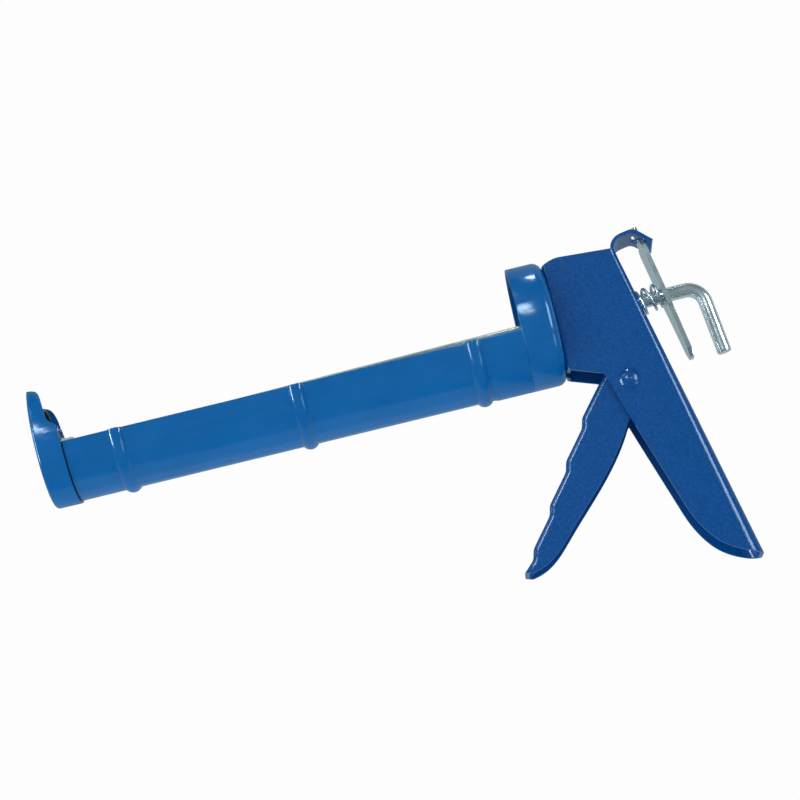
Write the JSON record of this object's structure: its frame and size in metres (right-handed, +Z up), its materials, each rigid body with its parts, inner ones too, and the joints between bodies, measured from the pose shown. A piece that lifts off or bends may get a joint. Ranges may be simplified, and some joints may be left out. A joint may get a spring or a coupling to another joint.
{
  "type": "caulking gun",
  "caption": "Open-cradle cartridge caulking gun: half-round barrel, channel handle, squeeze trigger, friction drive, release plate and hooked push rod.",
  "frame": {"origin": "on the barrel (cartridge) axis, 228 mm behind the outer face of the front cap and 2 mm ahead of the floor of the rear cap", "axes": "+X back along the barrel, +Z up, handle hangs down along -Z, +Y to the gun's own right"},
  "size_m": [0.3032, 0.0568, 0.1543],
  "materials": {
    "barrel_enamel": "smooth glossy blue enamel",
    "handle_enamel": "darker satin blue, finely mottled",
    "zinc_steel": "bright zinc plating",
    "hard_steel": "dark hardened steel"
  },
  "bodies": {
    "frame": {"barrel_trough": "barrel_enamel", "front_cap": "barrel_enamel", "rear_cap": "barrel_enamel", "handle_shell": "handle_enamel", "cap_rivets": "handle_enamel", "pivot_rivet": "handle_enamel", "pivot_washers": "zinc_steel", "spring_seat": "zinc_steel", "drive_spring": "zinc_steel", "release_spring": "zinc_steel"},
    "trigger": {"trigger": "handle_enamel", "trigger_bush": "zinc_steel"},
    "drive_plates": {"drive_plate_front": "hard_steel", "drive_plate_rear": "hard_steel"},
    "release_plate": {"release_plate": "zinc_steel"},
    "piston": {"piston_disc": "hard_steel"},
    "push_rod": {"push_rod": "zinc_steel", "piston_washer": "zinc_steel", "piston_back_nut": "zinc_steel", "piston_lock_washer": "zinc_steel", "piston_nut": "zinc_steel"}
  },
  "joints": [
    {"name": "trigger_pivot", "type": "hinge", "parent": "frame", "child": "trigger", "pos_m": [0.0281, 0, -0.0348], "axis": [0, -1, 0], "range_deg": [0, 25], "stiffness_Nm_per_rad": 0.6, "springref_deg": -28.65},
    {"name": "drive_slide", "type": "slide", "parent": "frame", "child": "drive_plates", "axis": [-1, 0, 0], "range_m": [0, 0.0102], "deforming": ["drive_spring"]},
    {"name": "release_pivot", "type": "hinge", "parent": "frame", "child": "release_plate", "pos_m": [0.0476, 0, 0.0302], "axis": [0, 1, 0], "range_deg": [0, 8], "stiffness_Nm_per_rad": 0.2, "springref_deg": -20.05, "deforming": ["release_spring"]},
    {"name": "plunger_slide", "type": "slide", "parent": "frame", "child": "piston", "axis": [0.9999, 0, 0.0145], "range_m": [0, 0.213]},
    {"name": "rod_turn", "type": "hinge", "parent": "piston", "child": "push_rod", "pos_m": [0.045, 0, 0], "axis": [0.9999, 0, 0.0145], "continuous": true}
  ],
  "couplings": [
    {"joint": "drive_slide", "follows": "trigger_pivot", "m_per_rad": 0.02305}
  ]
}
